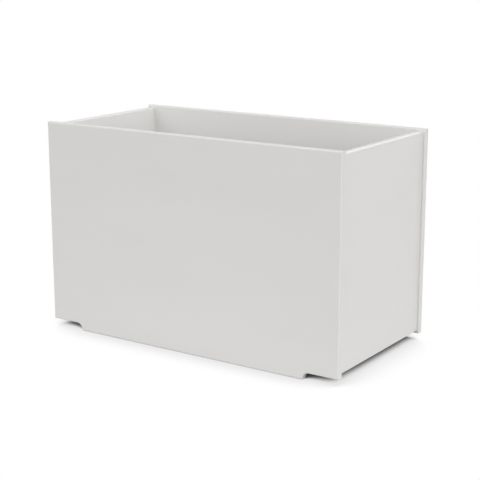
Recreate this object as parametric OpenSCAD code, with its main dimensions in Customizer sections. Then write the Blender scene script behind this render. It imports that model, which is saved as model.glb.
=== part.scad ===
// Rectangular floor planter cut from flat plastic sheet. Two long panels stand on the ground and
// carry two end panels between them, and a drained floor lies on ledgers and bearers inside.
// Millimetres, +Z up, front towards -Y. The origin is on the ground under the planter's centre.

/* [Overall] */
// Length of the front and back panels
planter_length = 914.4; // [660:0.1:1220]
// Depth over the outer faces of the front and back panels
planter_depth = 457.2; // [340:0.1:640]
// Height of the rim above the ground
planter_height = 574.675; // [380:0.025:760]

/* [Sheet] */
// Thickness of the sheet that the four walls are cut from
wall_sheet = 19.05; // [15:0.05:26]
// Thickness of the sheet that the floor panel is cut from
floor_sheet = 19.05; // [12:0.05:26]
// Radius routed along every open edge of the walls
edge_round = 3.175; // [1:0.005:6]

/* [Reveals] */
// How far the long panels run past the outer faces of the end panels
end_reveal = 6.35; // [2:0.05:25]
// How far the end panels stop below the rim
top_reveal = 6.35; // [2:0.05:25]
// How far the end panels stay above the raised corners of the long panels
bottom_reveal = 6.35; // [2:0.05:25]

/* [Feet] */
// Height of the long panels' raised corners above the ground
corner_rise = 19.05; // [10:0.05:40]
// Length of a raised corner, from the panel's end to its foot
corner_run = 101.6; // [60:0.1:160]
// Radius where a raised corner sweeps down into the foot
corner_sweep = 19.05; // [6:0.05:40]

/* [Corner joints] */
// Thickness of the tongue on each upright edge of an end panel
tongue_thickness = 9.525; // [6:0.005:12]
// Length by which the tongue stands out into the long panel
tongue_reach = 6.35; // [3:0.05:9]
// Distance from an end panel's top and bottom edges to its tongues
tongue_setback = 31.75; // [12:0.05:60]
// Clearance around a tongue in its groove
tongue_slack = 0.15; // [0.05:0.01:0.4]
// Side of the square cleats that stand in the inner corners
cleat_side = 31.75; // [28:0.05:45]
// Radius of a cleat's exposed edge
cleat_round = 6.35; // [2:0.05:12]
// Distance from the rim down to the tops of the cleats
cleat_drop = 101.6; // [60:0.1:160]

/* [Floor frame] */
// Thickness of the bar that the ledgers and bearers are cut from
bar_thickness = 19.05; // [15:0.05:30]
// Height of that bar
bar_height = 38.1; // [30:0.1:60]
// Height of the lap by which a bearer sits in its ledgers
lap_height = 19.05; // [10:0.05:25]
// Clearance around a bearer's lap, and at the ends of the ledgers
lap_slack = 0.25; // [0.1:0.01:0.8]

/* [Floor] */
// Gap for swelling and drainage around the floor panel
floor_gap = 1.6; // [0.5:0.05:5]
// Diameter of the drain holes
drain_diameter = 15.875; // [6:0.005:30]
// Distance from the long panels' inner faces to the drain holes
drain_inset = 107.95; // [60:0.05:130]
// Width of the bevel that leads water into a drain hole
drain_bevel = 2; // [0.5:0.1:4]

/* [Screws] */
// Diameter of the screws
screw_shank = 4.8; // [4:0.05:6]
// Diameter of the screw heads
screw_head = 9.5; // [8.5:0.05:12]
// Height of a pan head
pan_height = 3; // [2:0.05:4]
// Side of the square driver socket in a screw head
drive_side = 3.2; // [2:0.05:4]
// Depth of the driver socket
drive_depth = 1.8; // [1:0.05:2.5]
// Clearance around a screw's shank and head in their holes
screw_slack = 0.1; // [0.03:0.01:0.4]
// Sheet left between a screw's point and the outer face of its wall
screw_skin = 6.35; // [3:0.05:10]
// Depth at which the cleat screws' heads sit below the cleat's face
head_recess = 6.35; // [4.5:0.05:12]
// Length by which a floor screw bites into what the floor lies on
floor_bite = 15.875; // [8:0.005:24]
// Distance from a cleat's ends to its outermost screws
cleat_screw_margin = 25.4; // [18:0.1:45]
// Distance from an end ledger's ends to its outermost screws
ledger_screw_margin = 50.8; // [20:0.1:80]

/* [Hidden] */
$fn = 64;

wall_colour = "#d6d5d2";
frame_colour = "#d0cfcc";
steel_colour = "#b4b6b5";

// Over-run of every cutter past the face that it starts from
cut = 1;

// Inner faces of the walls
inner_x = planter_length / 2 - end_reveal - wall_sheet;
inner_y = planter_depth / 2 - wall_sheet;

// Heights of the end panels, the floor frame and the cleats
end_bottom = corner_rise + bottom_reveal;
end_top = planter_height - top_reveal;
frame_top = end_bottom + bar_height;
floor_top = frame_top + floor_sheet;
cleat_top = planter_height - cleat_drop;

// The foot and the swept corner beside it, which its rise limits
foot_end = planter_length / 2 - corner_run;
sweep = min(corner_sweep, corner_rise);

// The end panels' middle plane and the centres of their tongues' round ends
end_middle = inner_x + wall_sheet / 2;
tongue_low = end_bottom + tongue_setback + tongue_thickness / 2;
tongue_high = end_top - tongue_setback - tongue_thickness / 2;

// Middle lines of the cleats and ledgers, and the spacing of the bearers
cleat_x = inner_x - cleat_side / 2;
cleat_y = inner_y - cleat_side / 2;
ledger_x = inner_x - bar_thickness / 2;
ledger_middle = end_bottom + bar_height / 2;
// Three bearers divide the floor into four bays
bays = 4;
bearer_pitch = 2 * inner_x / bays;

// Screws: how deep they bite into a wall, and their lengths under the head
wall_bite = wall_sheet - screw_skin;
point_length = screw_shank * 0.9;
// Height of a countersunk head, whose flanks slope at 45 degrees
flat_height = (screw_head - screw_shank) / 2;
cleat_screw_length = cleat_side - head_recess + wall_bite;
ledger_screw_length = bar_thickness + wall_bite;
floor_screw_length = floor_sheet + floor_bite;

// Screw places. A cleat's screws turn by turn enter its long panel and its end panel.
screws_per_side = 4;
cleat_screw_step = (cleat_top - end_bottom - 2 * cleat_screw_margin) / (2 * screws_per_side - 1);
function cleat_screw_heights(start) = [
    for (i = [0 : screws_per_side - 1])
        end_bottom + cleat_screw_margin + (2 * i + start) * cleat_screw_step
];
long_side_heights = cleat_screw_heights(0);
end_side_heights = cleat_screw_heights(1);
// Two screws in each bay along a long ledger
long_ledger_places = [for (i = [0 : 2 * bays - 1]) (i - bays + 0.5) * bearer_pitch / 2];
end_ledger_reach = inner_y - cleat_side - ledger_screw_margin;
end_ledger_places = [-end_ledger_reach, 0, end_ledger_reach];
// Floor screws stand midway between the end ledgers' screws, over both ledgers and each bearer
floor_screw_y = end_ledger_reach / 2;
floor_screw_x = [-ledger_x, -bearer_pitch, 0, bearer_pitch, ledger_x];
drain_x = [for (i = [0 : bays - 1]) (i - (bays - 1) / 2) * bearer_pitch];
drain_y = inner_y - drain_inset;

// What a roundover takes off a square edge at the origin, with the sheet towards +X and +Y
module roundover(radius) {
    difference() {
        translate([-cut, -cut]) square(radius + cut);
        translate([radius, radius]) circle(radius);
    }
}

// Roundover along X, on an edge whose sheet lies towards +Y and +Z
module round_along_x(from, to, radius = edge_round) {
    translate([from, 0, 0]) rotate([90, 0, 90]) linear_extrude(to - from) roundover(radius);
}

// Roundover along Y, on an edge whose sheet lies towards +X and +Z
module round_along_y(from, to, radius = edge_round) {
    translate([0, to, 0]) rotate([90, 0, 0]) linear_extrude(to - from) roundover(radius);
}

// Roundover along Z, on an edge whose sheet lies towards +X and +Y
module round_along_z(from, to, radius = edge_round) {
    translate([0, 0, from]) linear_extrude(to - from) roundover(radius);
}

// Its children as drawn and mirrored left to right
module both_ends() {
    children();
    mirror([1, 0, 0]) children();
}

// Its children as drawn and mirrored front to back
module both_faces() {
    children();
    mirror([0, 1, 0]) children();
}

// Void under the right raised corner, with a quarter round where it meets the foot
module raised_corner_void() {
    difference() {
        translate([foot_end, -cut]) square([corner_run + cut, corner_rise + cut]);
        difference() {
            translate([foot_end - cut, corner_rise - sweep]) square(sweep + cut);
            translate([foot_end + sweep, corner_rise - sweep]) circle(sweep);
        }
    }
}

// Outline of a long panel seen from the front
module long_panel_outline() {
    difference() {
        translate([-planter_length / 2, 0]) square([planter_length, planter_height]);
        raised_corner_void();
        mirror([1, 0]) raised_corner_void();
    }
}

// Roundovers of one face's right end: up the end, under the raised corner, round the sweep
// and down the side of the foot
module right_end_roundovers() {
    face = -wall_sheet / 2;
    translate([planter_length / 2, face, 0]) mirror([1, 0, 0])
        round_along_z(-cut, planter_height + cut);
    translate([0, face, corner_rise]) round_along_x(foot_end + sweep, planter_length / 2 + cut);
    translate([foot_end + sweep, face, corner_rise - sweep]) rotate([-90, 0, 0])
        rotate([0, 0, 180]) rotate_extrude(angle = 90) translate([sweep, 0]) roundover(edge_round);
    translate([foot_end, face, 0]) mirror([1, 0, 0]) round_along_z(-cut, corner_rise - sweep);
}

// Roundovers along one face's rim and the underside of its foot
module rim_and_foot_roundovers() {
    over = planter_length / 2 + cut;
    translate([0, -wall_sheet / 2, planter_height]) mirror([0, 0, 1]) round_along_x(-over, over);
    translate([0, -wall_sheet / 2, 0]) round_along_x(-foot_end - cut, foot_end + cut);
}

// Tongue on an end panel's upright edge, from the edge towards +Y, or with slack its groove
module tongue(slack = 0) {
    width = tongue_thickness + 2 * slack;
    reach = tongue_reach + slack;
    span = tongue_high - tongue_low;
    translate([-width / 2, 0, tongue_low]) cube([width, reach, span]);
    for (z = [tongue_low, tongue_high])
        translate([0, 0, z]) rotate([-90, 0, 0]) cylinder(d = width, h = reach);
}

// Blind pilot hole for a screw's bite, from the origin along +Z
module pilot(bite = wall_bite) {
    radius = screw_shank / 2 + screw_slack;
    translate([0, 0, -cut]) cylinder(r = radius, h = cut + bite - point_length);
    translate([0, 0, bite - point_length]) cylinder(r1 = radius, r2 = screw_slack, h = point_length);
}

// Turns what is drawn along +Z to lie along +Y or along +X
module along_y() { rotate([-90, 0, 0]) children(); }
module along_x() { rotate([0, 90, 0]) children(); }

// A long panel about its own middle plane, with its inner face towards +Y
module long_panel() {
    inner_face = wall_sheet / 2;
    difference() {
        translate([0, inner_face, 0]) rotate([90, 0, 0])
            linear_extrude(wall_sheet) long_panel_outline();
        both_faces() {
            rim_and_foot_roundovers();
            both_ends() right_end_roundovers();
        }
        both_ends() {
            translate([end_middle, inner_face, 0]) mirror([0, 1, 0]) {
                tongue(tongue_slack);
                translate([0, -cut, 0]) tongue(tongue_slack);
            }
            for (z = long_side_heights)
                translate([cleat_x, inner_face, z]) mirror([0, 1, 0]) along_y() pilot();
        }
        for (x = long_ledger_places)
            translate([x, inner_face, ledger_middle]) mirror([0, 1, 0]) along_y() pilot();
    }
}

module front_panel() {
    color(wall_colour) translate([0, -inner_y - wall_sheet / 2, 0]) long_panel();
}

module back_panel() {
    mirror([0, 1, 0]) front_panel();
}

// Right end panel, between the long panels, with a tongue on each upright edge
module right_end_panel() {
    color(wall_colour) difference() {
        union() {
            translate([inner_x, -inner_y, end_bottom])
                cube([wall_sheet, 2 * inner_y, end_top - end_bottom]);
            both_faces() translate([end_middle, inner_y, 0]) tongue();
        }
        for (side = [0, 1]) translate([end_middle, 0, 0]) mirror([side, 0, 0]) {
            translate([-wall_sheet / 2, 0, end_bottom]) round_along_y(-inner_y - cut, inner_y + cut);
            translate([-wall_sheet / 2, 0, end_top]) mirror([0, 0, 1])
                round_along_y(-inner_y - cut, inner_y + cut);
        }
        both_faces() for (z = end_side_heights)
            translate([inner_x, cleat_y, z]) along_x() pilot();
        for (y = end_ledger_places)
            translate([inner_x, y, ledger_middle]) along_x() pilot();
    }
}

module left_end_panel() {
    mirror([1, 0, 0]) right_end_panel();
}

// Hole through a cleat, from its inner face along +Z, with a recess for a pan head
module cleat_hole() {
    translate([0, 0, -cut]) {
        cylinder(d = screw_head + 2 * screw_slack, h = head_recess + cut);
        cylinder(r = screw_shank / 2 + screw_slack, h = cleat_side + 2 * cut);
    }
}

// Cleat in the back right corner, from the underside of the end panel up
module back_right_cleat() {
    near_x = inner_x - cleat_side;
    near_y = inner_y - cleat_side;
    color(frame_colour) difference() {
        translate([near_x, near_y, end_bottom])
            cube([cleat_side, cleat_side, cleat_top - end_bottom]);
        translate([near_x, near_y, 0]) round_along_z(end_bottom - cut, cleat_top + cut, cleat_round);
        translate([0, near_y, cleat_top]) mirror([0, 0, 1]) round_along_x(near_x - cut, inner_x + cut);
        translate([near_x, 0, cleat_top]) mirror([0, 0, 1]) round_along_y(near_y - cut, inner_y + cut);
        for (z = long_side_heights) translate([cleat_x, near_y, z]) along_y() cleat_hole();
        for (z = end_side_heights) translate([near_x, cleat_y, z]) along_x() cleat_hole();
    }
}

module back_left_cleat() {
    mirror([1, 0, 0]) back_right_cleat();
}

module front_right_cleat() {
    mirror([0, 1, 0]) back_right_cleat();
}

module front_left_cleat() {
    mirror([1, 0, 0]) front_right_cleat();
}

// Ledger along the back panel, notched from above for the bearers' laps
module back_ledger() {
    half = inner_x - cleat_side - lap_slack;
    near_y = inner_y - bar_thickness;
    notch = bar_thickness + 2 * lap_slack;
    color(frame_colour) difference() {
        translate([-half, near_y, end_bottom]) cube([2 * half, bar_thickness, bar_height]);
        translate([0, near_y, end_bottom]) round_along_x(-half - cut, half + cut);
        for (x = [-bearer_pitch, 0, bearer_pitch])
            translate([x - notch / 2, near_y - cut, frame_top - lap_height])
                cube([notch, bar_thickness + 2 * cut, lap_height + cut]);
        for (x = long_ledger_places)
            translate([x, near_y - cut, ledger_middle]) along_y()
                cylinder(r = screw_shank / 2 + screw_slack, h = bar_thickness + 2 * cut);
    }
}

module front_ledger() {
    mirror([0, 1, 0]) back_ledger();
}

// Ledger along the right end panel, with pilots for the floor screws
module right_ledger() {
    half = inner_y - cleat_side - lap_slack;
    near_x = inner_x - bar_thickness;
    color(frame_colour) difference() {
        translate([near_x, -half, end_bottom]) cube([bar_thickness, 2 * half, bar_height]);
        translate([near_x, 0, end_bottom]) round_along_y(-half - cut, half + cut);
        for (y = end_ledger_places)
            translate([near_x - cut, y, ledger_middle]) along_x()
                cylinder(r = screw_shank / 2 + screw_slack, h = bar_thickness + 2 * cut);
        both_faces() translate([ledger_x, floor_screw_y, frame_top]) mirror([0, 0, 1])
            pilot(floor_bite);
    }
}

module left_ledger() {
    mirror([1, 0, 0]) right_ledger();
}

// Bearer under the floor, lapped over the ledgers at both ends
module bearer(x) {
    lap_end = inner_y - lap_slack;
    shoulder = inner_y - bar_thickness - lap_slack;
    color(frame_colour) translate([x, 0, 0]) difference() {
        union() {
            translate([-bar_thickness / 2, -lap_end, frame_top - lap_height])
                cube([bar_thickness, 2 * lap_end, lap_height]);
            translate([-bar_thickness / 2, -shoulder, frame_top - bar_height])
                cube([bar_thickness, 2 * shoulder, bar_height]);
        }
        for (side = [0, 1]) mirror([side, 0, 0])
            translate([-bar_thickness / 2, 0, frame_top - bar_height])
                round_along_y(-shoulder - cut, shoulder + cut);
        both_faces() translate([0, floor_screw_y, frame_top]) mirror([0, 0, 1]) pilot(floor_bite);
    }
}

module left_bearer() { bearer(-bearer_pitch); }
module middle_bearer() { bearer(0); }
module right_bearer() { bearer(bearer_pitch); }

// Quarter of the floor's outline: a rectangle less the cleat's corner, filleted round the cleat
module floor_quarter() {
    far_x = inner_x - floor_gap;
    far_y = inner_y - floor_gap;
    notch_x = inner_x - cleat_side - floor_gap;
    notch_y = inner_y - cleat_side - floor_gap;
    fillet = cleat_round + floor_gap;
    difference() {
        square([far_x, far_y]);
        difference() {
            translate([notch_x, notch_y]) square(cleat_side + cut);
            difference() {
                translate([notch_x - cut, notch_y - cut]) square(fillet + cut);
                translate([notch_x + fillet, notch_y + fillet]) circle(fillet);
            }
        }
    }
}

// Floor panel, with bevelled drain holes and countersunk screw holes
module floor_panel() {
    color(wall_colour) difference() {
        translate([0, 0, frame_top]) linear_extrude(floor_sheet)
            both_ends() both_faces() floor_quarter();
        for (x = drain_x, side = [-1, 1]) translate([x, side * drain_y, 0]) {
            translate([0, 0, frame_top - cut])
                cylinder(d = drain_diameter, h = floor_sheet + 2 * cut);
            translate([0, 0, floor_top - drain_bevel])
                cylinder(r1 = drain_diameter / 2, r2 = drain_diameter / 2 + drain_bevel + cut,
                         h = drain_bevel + cut);
        }
        for (x = floor_screw_x, side = [-1, 1]) translate([x, side * floor_screw_y, floor_top])
            mirror([0, 0, 1]) flat_head_hole();
    }
}

// Square socket for the driver, sunk into a screw's head from the origin along +Z
module drive_socket() {
    translate([-drive_side / 2, -drive_side / 2, -cut])
        cube([drive_side, drive_side, drive_depth + cut]);
}

// Shank and point of a screw, from the origin along +Z
module shank(length) {
    cylinder(d = screw_shank, h = length - point_length);
    translate([0, 0, length - point_length]) cylinder(d1 = screw_shank, d2 = 0, h = point_length);
}

// Pan-head screw along +Z, with the underside of its head at the origin
module pan_screw(length) {
    dome = (pow(screw_head / 2, 2) + pow(pan_height, 2)) / (2 * pan_height);
    color(steel_colour) difference() {
        union() {
            shank(length);
            rotate_extrude() intersection() {
                translate([0, dome - pan_height]) circle(dome);
                translate([0, -pan_height]) square([screw_head / 2, pan_height]);
            }
        }
        translate([0, 0, -pan_height]) drive_socket();
    }
}

// Countersunk screw along +Z, with the top of its head at the origin
module flat_screw(length) {
    color(steel_colour) difference() {
        union() {
            cylinder(d1 = screw_head, d2 = screw_shank, h = flat_height);
            translate([0, 0, flat_height]) shank(length - flat_height);
        }
        drive_socket();
    }
}

// Hole for a countersunk screw through the floor, from the top of its head along +Z
module flat_head_hole() {
    radius = screw_shank / 2 + screw_slack;
    translate([0, 0, -cut])
        cylinder(r1 = radius + flat_height + cut, r2 = radius, h = flat_height + cut);
    translate([0, 0, flat_height - cut]) cylinder(r = radius, h = floor_sheet);
}

// Screws from the two back cleats into the back panel
module back_cleat_screws() {
    both_ends() for (z = long_side_heights)
        translate([cleat_x, inner_y - cleat_side + head_recess, z]) along_y()
            pan_screw(cleat_screw_length);
}

module front_cleat_screws() {
    mirror([0, 1, 0]) back_cleat_screws();
}

// Screws from the two right cleats into the right end panel
module right_cleat_screws() {
    both_faces() for (z = end_side_heights)
        translate([inner_x - cleat_side + head_recess, cleat_y, z]) along_x()
            pan_screw(cleat_screw_length);
}

module left_cleat_screws() {
    mirror([1, 0, 0]) right_cleat_screws();
}

module back_ledger_screws() {
    for (x = long_ledger_places)
        translate([x, inner_y - bar_thickness, ledger_middle]) along_y()
            pan_screw(ledger_screw_length);
}

module front_ledger_screws() {
    mirror([0, 1, 0]) back_ledger_screws();
}

module right_ledger_screws() {
    for (y = end_ledger_places)
        translate([inner_x - bar_thickness, y, ledger_middle]) along_x()
            pan_screw(ledger_screw_length);
}

module left_ledger_screws() {
    mirror([1, 0, 0]) right_ledger_screws();
}

// Countersunk screws that hold the floor down
module floor_screws() {
    for (x = floor_screw_x, side = [-1, 1]) translate([x, side * floor_screw_y, floor_top])
        mirror([0, 0, 1]) flat_screw(floor_screw_length);
}

front_panel();
back_panel();
left_end_panel();
right_end_panel();
front_left_cleat();
front_right_cleat();
back_left_cleat();
back_right_cleat();
front_ledger();
back_ledger();
left_ledger();
right_ledger();
left_bearer();
middle_bearer();
right_bearer();
floor_panel();
front_cleat_screws();
back_cleat_screws();
left_cleat_screws();
right_cleat_screws();
front_ledger_screws();
back_ledger_screws();
left_ledger_screws();
right_ledger_screws();
floor_screws();
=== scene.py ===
"""Looks of a rectangular floor planter made of pale grey polyethylene sheet.

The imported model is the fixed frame, and nothing here moves it. Each sub-assembly dresses its own
pieces in the finish of the real ones, and a plain studio with a white floor and soft light stands
round them. Metres, +Z up, front towards -Y.
"""

import logging
import math
from dataclasses import dataclass
from enum import Enum
from typing import Any

import bpy
from mathutils import Euler, Matrix, Vector

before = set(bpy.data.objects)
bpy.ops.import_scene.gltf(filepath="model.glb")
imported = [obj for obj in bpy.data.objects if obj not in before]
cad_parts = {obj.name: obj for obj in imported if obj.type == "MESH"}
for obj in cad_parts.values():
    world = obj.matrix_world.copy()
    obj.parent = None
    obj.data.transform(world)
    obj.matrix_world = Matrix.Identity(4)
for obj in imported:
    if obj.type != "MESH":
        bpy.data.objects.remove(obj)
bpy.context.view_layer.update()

LOG = logging.getLogger("planter")
MM = 0.001
WHITE = "#ffffff"
Colour = tuple[float, float, float, float]
Settings = dict[str | int, Any]


class Axis(Enum):
    """Direction in the planter's frame."""

    X = (1.0, 0.0, 0.0)
    Y = (0.0, 1.0, 0.0)
    Z = (0.0, 0.0, 1.0)

    @property
    def place(self) -> int:
        """Position of this direction in a vector."""
        return self.value.index(1.0)


class Blend(Enum):
    """What a blend is of: its name in the Mix node, and the numbers of its low, high and output."""

    VALUES = ("FLOAT", 2, 3, 0)
    COLOURS = ("RGBA", 6, 7, 2)


def linear(hex_colour: str) -> Colour:
    """Turns an sRGB hex colour to linear.

    Args:
        hex_colour: The colour as "#rrggbb".

    Returns:
        Linear red, green and blue, and full alpha.
    """
    parts = [int(hex_colour[i:i + 2], 16) / 255 for i in (1, 3, 5)]
    # The curve of the sRGB standard, which is straight near black
    red, green, blue = [p / 12.92 if p <= 0.04045 else ((p + 0.055) / 1.055) ** 2.4 for p in parts]
    return red, green, blue, 1.0


def add_node(
    tree: bpy.types.NodeTree,
    kind: str,
    settings: Settings | None = None,
    links: dict[str | int, bpy.types.NodeSocket] | None = None,
) -> bpy.types.Node:
    """Adds one node with its settings and links.

    Args:
        tree: The node tree that gets the node.
        kind: The node's type.
        settings: Values of its properties, or of its input sockets by name or number.
        links: Output sockets of other nodes, by the name or number of the input that they feed.

    Returns:
        The new node.
    """
    node = tree.nodes.new(kind)
    for name, value in (settings or {}).items():
        if isinstance(name, int) or name in node.inputs:
            node.inputs[name].default_value = value
        else:
            setattr(node, name, value)
    for name, source in (links or {}).items():
        tree.links.new(source, node.inputs[name])
    return node


def new_material(name: str) -> tuple[bpy.types.Material, bpy.types.NodeTree]:
    """Makes a node-based material with no nodes yet.

    Args:
        name: The material's name.

    Returns:
        The material and its node tree.
    """
    material = bpy.data.materials.new(name)
    material.use_nodes = True
    material.node_tree.nodes.clear()
    return material, material.node_tree


def mixed(
    tree: bpy.types.NodeTree,
    factor: bpy.types.NodeSocket,
    low: float | Colour | bpy.types.NodeSocket,
    high: float | Colour | bpy.types.NodeSocket,
    blend: Blend = Blend.VALUES,
) -> bpy.types.NodeSocket:
    """Blends two values or colours.

    Args:
        tree: The node tree that gets the node.
        factor: Output that runs from 0, all low, to 1, all high.
        low: Value, colour or output at 0.
        high: Value, colour or output at 1.
        blend: Whether values or colours are blended.

    Returns:
        The blend's output.
    """
    kind, at_low, at_high, result = blend.value
    node = add_node(tree, "ShaderNodeMix", {"data_type": kind}, {0: factor})
    for number, end in ((at_low, low), (at_high, high)):
        if isinstance(end, bpy.types.NodeSocket):
            tree.links.new(end, node.inputs[number])
        else:
            node.inputs[number].default_value = end
    return node.outputs[result]


@dataclass(frozen=True)
class ExtrudedSheet:
    """High-density polyethylene sheet, extruded with a fine pebbled face and cut by a router.

    To the eye it is a quiet, matte, pale warm grey. Its faces are softly pebbled and a little
    cloudy along the direction of extrusion. Its routed edges are of the same grey but smoother,
    with the cutter's marks across them.
    """

    # Direction of the sheet's thickness, and the one in which it was extruded
    thin: Axis
    along: Axis
    pale: str = "#d9d8d6"
    cloudy: str = "#d5d4d2"
    cut_edge: str = "#d6d5d3"
    ior: float = 1.54
    face_roughness: float = 0.48
    edge_roughness: float = 0.4
    # Clouds in the pigment, about as wide as this and drawn out along the extrusion
    cloud_mm: float = 90.0
    cloud_stretch: float = 3.0
    cloud_detail: float = 3.0
    cloud_breakup: float = 0.5
    # The pebbles are about 1 mm apart and 0.012 mm deep. They are drawn 4 mm apart with the same
    # slopes, so that they show.
    pebble_mm: float = 4.0
    pebble_depth_mm: float = 0.05
    pebble_detail: float = 1.0
    pebble_breakup: float = 0.4
    # The cutter's marks are about 0.6 mm apart. They are drawn 2.4 mm apart, so that they show.
    cutter_mm: float = 2.4
    cutter_depth_mm: float = 0.015
    # How far a normal leaves the sheet's thin direction where a face turns into a cut edge
    edge_starts: float = 0.05
    edge_ends: float = 0.35

    def material(self) -> bpy.types.Material:
        """Builds the material.

        Returns:
            The Blender material.
        """
        material, tree = new_material(f"extruded_polyethylene_{self.thin.name}")
        place = add_node(tree, "ShaderNodeTexCoord").outputs
        edge = self._edge_mask(tree, place["Normal"])
        clouds = self._clouds(tree, place["Object"])
        face_colour = mixed(tree, clouds, linear(self.cloudy), linear(self.pale), Blend.COLOURS)
        height = mixed(tree, edge, self._pebbles(tree, place["Object"]),
                       self._cutter_marks(tree, place["Object"]))
        bump = add_node(tree, "ShaderNodeBump", {"Strength": 1.0, "Distance": MM},
                        {"Height": height})
        shader = add_node(
            tree, "ShaderNodeBsdfPrincipled", {"IOR": self.ior},
            {"Base Color": mixed(tree, edge, face_colour, linear(self.cut_edge), Blend.COLOURS),
             "Roughness": mixed(tree, edge, self.face_roughness, self.edge_roughness),
             "Normal": bump.outputs["Normal"]})
        add_node(tree, "ShaderNodeOutputMaterial", None, {"Surface": shader.outputs["BSDF"]})
        return material

    def _edge_mask(
        self, tree: bpy.types.NodeTree, normal: bpy.types.NodeSocket
    ) -> bpy.types.NodeSocket:
        """Tells the routed edges, 1, from the sheet's faces, 0.

        Args:
            tree: The node tree that gets the nodes.
            normal: Output with the object's own normal.

        Returns:
            The mask's output.
        """
        facing = add_node(tree, "ShaderNodeVectorMath",
                          {"operation": "DOT_PRODUCT", 1: self.thin.value}, {0: normal})
        size = add_node(tree, "ShaderNodeMath", {"operation": "ABSOLUTE"},
                        {0: facing.outputs["Value"]})
        mask = add_node(tree, "ShaderNodeMapRange",
                        {"interpolation_type": "SMOOTHSTEP",
                         "From Min": 1 - self.edge_starts, "From Max": 1 - self.edge_ends},
                        {"Value": size.outputs[0]})
        return mask.outputs["Result"]

    def _clouds(
        self, tree: bpy.types.NodeTree, place: bpy.types.NodeSocket
    ) -> bpy.types.NodeSocket:
        """Draws the pigment's clouds out along the extrusion.

        Args:
            tree: The node tree that gets the nodes.
            place: Output with the object's own coordinates.

        Returns:
            The output that says how pale the face is, from 0 to 1.
        """
        stretch = [1.0, 1.0, 1.0]
        stretch[self.along.place] = 1 / self.cloud_stretch
        laid = add_node(tree, "ShaderNodeMapping", {"Scale": stretch}, {"Vector": place})
        noise = add_node(tree, "ShaderNodeTexNoise",
                         {"Scale": 1 / (self.cloud_mm * MM), "Detail": self.cloud_detail,
                          "Roughness": self.cloud_breakup},
                         {"Vector": laid.outputs["Vector"]})
        return noise.outputs["Fac"]

    def _pebbles(
        self, tree: bpy.types.NodeTree, place: bpy.types.NodeSocket
    ) -> bpy.types.NodeSocket:
        """Draws the height, in millimetres, of the pebbled face.

        Args:
            tree: The node tree that gets the nodes.
            place: Output with the object's own coordinates.

        Returns:
            The height's output.
        """
        noise = add_node(tree, "ShaderNodeTexNoise",
                         {"Scale": 1 / (self.pebble_mm * MM), "Detail": self.pebble_detail,
                          "Roughness": self.pebble_breakup},
                         {"Vector": place})
        height = add_node(tree, "ShaderNodeMath",
                          {"operation": "MULTIPLY", 1: self.pebble_depth_mm},
                          {0: noise.outputs["Fac"]})
        return height.outputs[0]

    def _cutter_marks(
        self, tree: bpy.types.NodeTree, place: bpy.types.NodeSocket
    ) -> bpy.types.NodeSocket:
        """Draws the height, in millimetres, of the marks across a routed edge.

        Args:
            tree: The node tree that gets the nodes.
            place: Output with the object's own coordinates.

        Returns:
            The height's output.
        """
        turns = math.tau / (self.cutter_mm * MM)
        feed = tuple(turns * (1 - part) for part in self.thin.value)
        phase = add_node(tree, "ShaderNodeVectorMath", {"operation": "DOT_PRODUCT", 1: feed},
                         {0: place})
        wave = add_node(tree, "ShaderNodeMath", {"operation": "SINE"},
                        {0: phase.outputs["Value"]})
        height = add_node(tree, "ShaderNodeMath",
                          {"operation": "MULTIPLY", 1: self.cutter_depth_mm / 2},
                          {0: wave.outputs[0]})
        return height.outputs[0]


@dataclass(frozen=True)
class SawnBar:
    """Polyethylene bar, sawn from the sheet for the parts that nobody sees from outside.

    To the eye it is the sheet's pale warm grey, a little darker and duller, with the saw's faint
    marks slanting across it.
    """

    pale: str = "#d3d2d0"
    dull: str = "#cdccca"
    ior: float = 1.54
    low_roughness: float = 0.5
    high_roughness: float = 0.62
    # Stains in the pigment, about as wide as this
    stain_mm: float = 35.0
    stain_detail: float = 4.0
    # The saw's marks are about 1 mm apart. They are drawn 3 mm apart, so that they show.
    saw_mm: float = 3.0
    saw_depth_mm: float = 0.03
    # Direction square to the marks, and how they waver
    saw_slant: tuple[float, float, float] = (0.9, 0.8, 1.0)
    saw_waver: float = 1.5
    saw_waver_detail: float = 1.0
    saw_waver_scale: float = 0.4

    def material(self) -> bpy.types.Material:
        """Builds the material.

        Returns:
            The Blender material.
        """
        material, tree = new_material("sawn_polyethylene_bar")
        place = add_node(tree, "ShaderNodeTexCoord").outputs["Object"]
        stain = add_node(tree, "ShaderNodeTexNoise",
                         {"Scale": 1 / (self.stain_mm * MM), "Detail": self.stain_detail},
                         {"Vector": place})
        slanted = add_node(tree, "ShaderNodeMapping", {"Scale": self.saw_slant},
                           {"Vector": place})
        turns = math.tau / (self.saw_mm * MM * Vector(self.saw_slant).length)
        # A diagonal wave of scale 1 turns by 10 radians for each metre of x + y + z
        marks = add_node(tree, "ShaderNodeTexWave",
                         {"bands_direction": "DIAGONAL", "Scale": turns / 10,
                          "Distortion": self.saw_waver, "Detail": self.saw_waver_detail,
                          "Detail Scale": self.saw_waver_scale},
                         {"Vector": slanted.outputs["Vector"]})
        bump = add_node(tree, "ShaderNodeBump",
                        {"Strength": 1.0, "Distance": self.saw_depth_mm * MM},
                        {"Height": marks.outputs["Fac"]})
        shader = add_node(
            tree, "ShaderNodeBsdfPrincipled", {"IOR": self.ior},
            {"Base Color": mixed(tree, stain.outputs["Fac"], linear(self.dull),
                                 linear(self.pale), Blend.COLOURS),
             "Roughness": mixed(tree, stain.outputs["Fac"], self.low_roughness,
                                self.high_roughness),
             "Normal": bump.outputs["Normal"]})
        add_node(tree, "ShaderNodeOutputMaterial", None, {"Surface": shader.outputs["BSDF"]})
        return material


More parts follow.
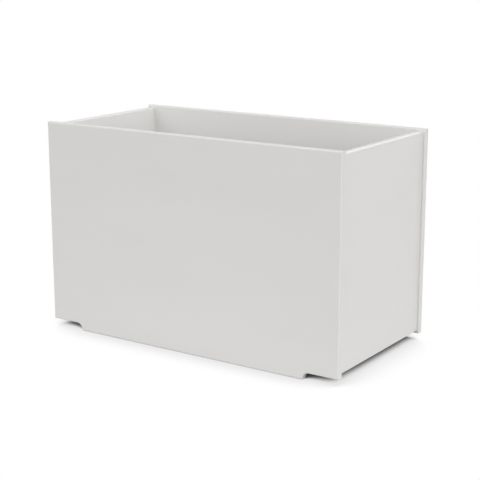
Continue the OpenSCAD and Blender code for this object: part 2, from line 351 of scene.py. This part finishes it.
@dataclass(frozen=True)
class StainlessSteel:
    """Stainless steel wire, cold-headed and threaded into screws.

    To the eye it is a pale, slightly warm metal, bright but softened by fine scratches.
    """

    bright: str = "#c9c7c3"
    worn: str = "#b9b8b5"
    low_roughness: float = 0.24
    high_roughness: float = 0.4
    # The scratches are about 0.1 mm wide. They are drawn 1 mm wide, so that they show.
    scratch_mm: float = 1.0
    scratch_depth_mm: float = 0.01
    scratch_detail: float = 2.0

    def material(self) -> bpy.types.Material:
        """Builds the material.

        Returns:
            The Blender material.
        """
        material, tree = new_material("stainless_steel")
        place = add_node(tree, "ShaderNodeTexCoord").outputs["Object"]
        scratches = add_node(tree, "ShaderNodeTexNoise",
                             {"Scale": 1 / (self.scratch_mm * MM), "Detail": self.scratch_detail},
                             {"Vector": place})
        bump = add_node(tree, "ShaderNodeBump",
                        {"Strength": 1.0, "Distance": self.scratch_depth_mm * MM},
                        {"Height": scratches.outputs["Fac"]})
        shader = add_node(
            tree, "ShaderNodeBsdfPrincipled", {"Metallic": 1.0},
            {"Base Color": mixed(tree, scratches.outputs["Fac"], linear(self.worn),
                                 linear(self.bright), Blend.COLOURS),
             "Roughness": mixed(tree, scratches.outputs["Fac"], self.low_roughness,
                                self.high_roughness),
             "Normal": bump.outputs["Normal"]})
        add_node(tree, "ShaderNodeOutputMaterial", None, {"Surface": shader.outputs["BSDF"]})
        return material


def dress(node: str, material: bpy.types.Material) -> None:
    """Gives one piece of the frame its finish.

    Args:
        node: The piece's name.
        material: The finish.
    """
    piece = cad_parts[node]
    piece.data.materials.clear()
    piece.data.materials.append(material)
    LOG.info("%s: %s", node, material.name)


@dataclass(frozen=True)
class Walls:
    """The two long panels and the two end panels between them."""

    long_panels: tuple[str, ...] = ("front_panel", "back_panel")
    end_panels: tuple[str, ...] = ("left_end_panel", "right_end_panel")

    def build(self) -> None:
        """Dresses the walls, each group in sheet that faces its own way."""
        long_sheet = ExtrudedSheet(thin=Axis.Y, along=Axis.X).material()
        end_sheet = ExtrudedSheet(thin=Axis.X, along=Axis.Y).material()
        for node in self.long_panels:
            dress(node, long_sheet)
        for node in self.end_panels:
            dress(node, end_sheet)


@dataclass(frozen=True)
class FloorPanel:
    """The drained floor that lies on the floor frame."""

    node: str = "floor_panel"

    def build(self) -> None:
        """Dresses the floor in sheet that faces up."""
        dress(self.node, ExtrudedSheet(thin=Axis.Z, along=Axis.X).material())


@dataclass(frozen=True)
class InnerFrame:
    """The cleats in the corners, and the ledgers and bearers under the floor."""

    cleats: tuple[str, ...] = tuple(
        f"{face}_{end}_cleat" for face in ("front", "back") for end in ("left", "right"))
    ledgers: tuple[str, ...] = tuple(
        f"{side}_ledger" for side in ("front", "back", "left", "right"))
    bearers: tuple[str, ...] = tuple(
        f"{place}_bearer" for place in ("left", "middle", "right"))

    def build(self) -> None:
        """Dresses every bar of the frame."""
        bar = SawnBar().material()
        for node in self.cleats + self.ledgers + self.bearers:
            dress(node, bar)


@dataclass(frozen=True)
class Screws:
    """The groups of screws that hold the cleats, the ledgers and the floor."""

    groups: tuple[str, ...] = tuple(
        f"{side}_{bar}_screws" for bar in ("cleat", "ledger")
        for side in ("front", "back", "left", "right")) + ("floor_screws",)

    def build(self) -> None:
        """Dresses every group of screws."""
        steel = StainlessSteel().material()
        for node in self.groups:
            dress(node, steel)


@dataclass(frozen=True)
class SoftLamp:
    """Lamp so far away that its light is even, and so wide that its shadows are soft."""

    name: str
    # Direction towards the lamp: degrees round from the front to the right, and above the ground
    round_from_front: float
    height: float
    # Light that a surface square to the lamp sends back, where 1 is white
    strength: float
    # Width of the lamp as seen from the planter, in degrees
    width: float

    def build(self) -> None:
        """Hangs the lamp."""
        data = bpy.data.lights.new(self.name, "SUN")
        data.energy = self.strength * math.pi
        data.angle = math.radians(self.width)
        lamp = bpy.data.objects.new(self.name, data)
        side, rise = math.radians(self.round_from_front), math.radians(self.height)
        towards = Vector((math.sin(side) * math.cos(rise), -math.cos(side) * math.cos(rise),
                          math.sin(rise)))
        lamp.rotation_euler = towards.to_track_quat("Z", "Y").to_euler()
        bpy.context.scene.collection.objects.link(lamp)
        LOG.info("%s: a soft lamp", self.name)


@dataclass(frozen=True)
class Studio:
    """White floor in a pale room, lit by the room's walls and by four soft lamps.

    The low lamps and walls throw their light over the rims, so that the inside is nearly as bright
    as the outside, and the dim ceiling keeps the rims from glaring.
    """

    floor_radius: float = 60.0
    floor_sides: int = 96
    floor_drop: float = 0.2 * MM
    # The floor's colour as it throws light back on the planter, near a place just in front of the
    # planter and far from it, with the distances between which one colour turns into the other.
    # By eye the floor is white everywhere.
    near_bounce: str = "#c8c8c8"
    far_bounce: str = "#8e8e8e"
    bounce_centre: tuple[float, float, float] = (0.1, -0.6, 0.0)
    near_until: float = 0.2
    far_from: float = 1.6
    floor_roughness: float = 0.9
    # The planter's soft shadow is painted shade, drawn into the floor's seen white from how open
    # the air is over the floor, from 0 to 1, within a reach. The air straight above gives a faint
    # rim of painted shadow all round. It is as light as rim_light where the air is no more open
    # than rim_starts, and it has faded out at rim_ends.
    rim_reach: float = 0.2
    rim_light: float = 0.8
    rim_starts: float = 0.5
    rim_ends: float = 0.7
    # The air towards the front right gives the deep painted shadow under the planter. Each pair is
    # how open it is and how light the floor is painted there.
    deep_reach: float = 0.45
    deep_towards: tuple[float, float, float] = (0.6, -1.2, 1.0)
    painted_deep_shadow: tuple[tuple[float, float], ...] = (
        (0.38, 0.04), (0.44, 0.24), (0.51, 0.66), (0.58, 0.90), (0.66, 1.0))
    shadow_rays: int = 24
    # Light from the walls and from the ceiling, where 1 is white
    wall_light: float = 0.38
    ceiling_light: float = 0.11
    # Degrees above the ground where the walls end and the ceiling starts
    walls_end: float = 20.0
    ceiling_starts: float = 42.0
    lamps: tuple[SoftLamp, ...] = (
        SoftLamp("front_lamp", round_from_front=-10.0, height=32.0, strength=0.55, width=60.0),
        SoftLamp("right_lamp", round_from_front=81.0, height=24.0, strength=0.675, width=56.0),
        SoftLamp("back_lamp", round_from_front=175.0, height=14.0, strength=0.46, width=45.0),
        SoftLamp("left_lamp", round_from_front=-100.0, height=14.0, strength=0.44, width=45.0),
    )

    def build(self) -> None:
        """Makes the floor, the room and the lamps."""
        self._floor()
        self._room()
        for lamp in self.lamps:
            lamp.build()

    def _seen(self, tree: bpy.types.NodeTree) -> bpy.types.NodeSocket:
        """Tells what is seen, by eye, in gloss or through glass, from what lights things.

        Args:
            tree: The node tree that gets the nodes.

        Returns:
            The output that is 1 for what is seen and 0 for what lights things.
        """
        ray = add_node(tree, "ShaderNodeLightPath").outputs
        gloss = add_node(tree, "ShaderNodeMath", {"operation": "MAXIMUM"},
                         {0: ray["Is Glossy Ray"], 1: ray["Is Transmission Ray"]})
        seen = add_node(tree, "ShaderNodeMath", {"operation": "MAXIMUM"},
                        {0: ray["Is Camera Ray"], 1: gloss.outputs[0]})
        return seen.outputs[0]

    def _white_with_painted_shadow(self, tree: bpy.types.NodeTree) -> bpy.types.NodeSocket:
        """Paints the floor white, with a painted shadow round the planter and deep under it.

        Args:
            tree: The node tree that gets the nodes.

        Returns:
            The output that says how light the floor is, from 0 to 1.
        """
        above = add_node(tree, "ShaderNodeAmbientOcclusion",
                         {"samples": self.shadow_rays, "Distance": self.rim_reach})
        rim = add_node(tree, "ShaderNodeMapRange",
                       {"From Min": self.rim_starts, "From Max": self.rim_ends,
                        "To Min": self.rim_light}, {"Value": above.outputs["AO"]})
        towards = add_node(tree, "ShaderNodeVectorMath",
                           {"operation": "NORMALIZE", 0: self.deep_towards})
        front = add_node(tree, "ShaderNodeAmbientOcclusion",
                         {"samples": self.shadow_rays, "Distance": self.deep_reach},
                         {"Normal": towards.outputs["Vector"]})
        # Behind the planter the air above counts, so that the painted shadow isn't deep there
        openness = add_node(tree, "ShaderNodeMath", {"operation": "MAXIMUM"},
                            {0: above.outputs["AO"], 1: front.outputs["AO"]})
        deep = add_node(tree, "ShaderNodeValToRGB", None, {"Fac": openness.outputs[0]})
        stops = deep.color_ramp.elements
        # A new ramp has two stops. One goes, and the other becomes the first of these.
        stops.remove(stops[0])
        for number, (opened, light) in enumerate(self.painted_deep_shadow):
            stop = stops[0] if number == 0 else stops.new(opened)
            stop.position = opened
            stop.color = (light, light, light, 1.0)
        both = add_node(tree, "ShaderNodeMath", {"operation": "MULTIPLY"},
                        {0: rim.outputs["Result"], 1: deep.outputs["Color"]})
        return both.outputs[0]

    def _bounce_colour(self, tree: bpy.types.NodeTree) -> bpy.types.NodeSocket:
        """Blends the colours in which the floor throws light back.

        Args:
            tree: The node tree that gets the nodes.

        Returns:
            The colour's output.
        """
        place = add_node(tree, "ShaderNodeTexCoord").outputs["Object"]
        away = add_node(tree, "ShaderNodeVectorMath",
                        {"operation": "DISTANCE", 1: self.bounce_centre}, {0: place})
        far = add_node(tree, "ShaderNodeMapRange",
                       {"interpolation_type": "SMOOTHSTEP",
                        "From Min": self.near_until, "From Max": self.far_from},
                       {"Value": away.outputs["Value"]})
        return mixed(tree, far.outputs["Result"], linear(self.near_bounce),
                     linear(self.far_bounce), Blend.COLOURS)

    def _floor(self) -> None:
        """Lays a round floor just under the planter's feet."""
        turn = math.tau / self.floor_sides
        corners = [(self.floor_radius * math.cos(i * turn), self.floor_radius * math.sin(i * turn),
                    -self.floor_drop) for i in range(self.floor_sides)]
        mesh = bpy.data.meshes.new("studio_floor")
        mesh.from_pydata(corners, [], [range(self.floor_sides)])
        floor = bpy.data.objects.new("studio_floor", mesh)
        bpy.context.scene.collection.objects.link(floor)
        material, tree = new_material("painted_floor")
        # The white that is seen, with its painted shadow, lights nothing. The light that the floor
        # throws back is the diffuse shader's.
        material.cycles.emission_sampling = "NONE"
        seen = add_node(tree, "ShaderNodeEmission", {"Color": linear(WHITE)},
                        {"Strength": self._white_with_painted_shadow(tree)})
        bounce = add_node(tree, "ShaderNodeBsdfDiffuse", {"Roughness": self.floor_roughness},
                          {"Color": self._bounce_colour(tree)})
        surface = add_node(tree, "ShaderNodeMixShader", None,
                           {0: self._seen(tree), 1: bounce.outputs["BSDF"],
                            2: seen.outputs["Emission"]})
        add_node(tree, "ShaderNodeOutputMaterial", None, {"Surface": surface.outputs["Shader"]})
        mesh.materials.append(material)
        LOG.info("studio_floor: %s", material.name)

    def _room(self) -> None:
        """Surrounds the planter with the room's light, seen by eye and in gloss as plain white."""
        world = bpy.data.worlds.new("white_room")
        world.use_nodes = True
        tree = world.node_tree
        tree.nodes.clear()
        direction = add_node(tree, "ShaderNodeTexCoord").outputs["Generated"]
        parts = add_node(tree, "ShaderNodeSeparateXYZ", None, {"Vector": direction})
        up = add_node(tree, "ShaderNodeMapRange",
                      {"interpolation_type": "SMOOTHSTEP",
                       "From Min": math.sin(math.radians(self.walls_end)),
                       "From Max": math.sin(math.radians(self.ceiling_starts))},
                      {"Value": parts.outputs["Z"]})
        room = mixed(tree, up.outputs["Result"], self.wall_light, self.ceiling_light)
        light = add_node(tree, "ShaderNodeBackground", {"Color": linear(WHITE)},
                         {"Strength": mixed(tree, self._seen(tree), room, 1.0)})
        add_node(tree, "ShaderNodeOutputWorld", None, {"Surface": light.outputs["Background"]})
        bpy.context.scene.world = world
        LOG.info("white_room: light from the walls")


@dataclass(frozen=True)
class Viewpoint:
    """Camera at the photograph's viewing angle, worked out from the planter's straight edges."""

    place: tuple[float, float, float] = (1.80006, -2.63827, 1.02671)
    # Degrees turned left from looking straight at the front, dipped below the horizon, and leant
    # to the left about the line of sight
    turn: float = 34.034
    dip: float = 13.499
    lean: float = -0.04
    lens_mm: float = 90.644
    film_mm: float = 36.0

    def build(self) -> None:
        """Sets up the scene's camera."""
        data = bpy.data.cameras.new("photo_camera")
        data.lens = self.lens_mm
        data.sensor_width = self.film_mm
        camera = bpy.data.objects.new("photo_camera", data)
        camera.location = self.place
        aim = Euler((math.radians(90 - self.dip), 0.0, math.radians(self.turn))).to_matrix()
        lean = Matrix.Rotation(math.radians(self.lean), 3, "Z")
        camera.rotation_euler = (aim @ lean).to_euler()
        bpy.context.scene.collection.objects.link(camera)
        bpy.context.scene.camera = camera
        LOG.info("photo_camera: lens of %.1f mm", self.lens_mm)


def main() -> None:
    """Dresses the planter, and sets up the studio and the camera."""
    logging.basicConfig(level=logging.INFO, format="%(name)s: %(message)s")
    for part in (Walls(), FloorPanel(), InnerFrame(), Screws(), Studio(), Viewpoint()):
        part.build()
    bpy.context.scene.view_settings.view_transform = "Standard"


if __name__ == "__main__":
    main()
